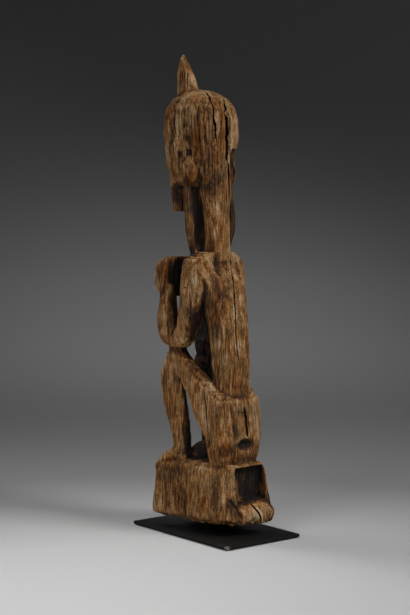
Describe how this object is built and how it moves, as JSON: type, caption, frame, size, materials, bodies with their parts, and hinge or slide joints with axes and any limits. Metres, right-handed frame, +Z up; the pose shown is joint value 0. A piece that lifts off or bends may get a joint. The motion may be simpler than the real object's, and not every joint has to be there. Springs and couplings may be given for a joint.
{
  "type": "ancestor figure",
  "caption": "Squatting carved wooden ancestor figure on its block, raised on a short post above a thin black steel plate.",
  "frame": {"origin": "centre of the underside, on the surface the stand rests on", "axes": "+Z up along the figure, -Y the way the figure faces, +X its own left"},
  "size_m": [0.141, 0.228, 0.7225],
  "materials": {
    "weathered_wood": "weathered, unvarnished, deep vertical grain and checks",
    "black_steel": "satin black, light scuffs at the edges",
    "black_felt": "matt black felt"
  },
  "bodies": {
    "root": {"figure": "weathered_wood", "stand_plate": "black_steel", "felt_pad": "black_felt"}
  },
  "joints": []
}
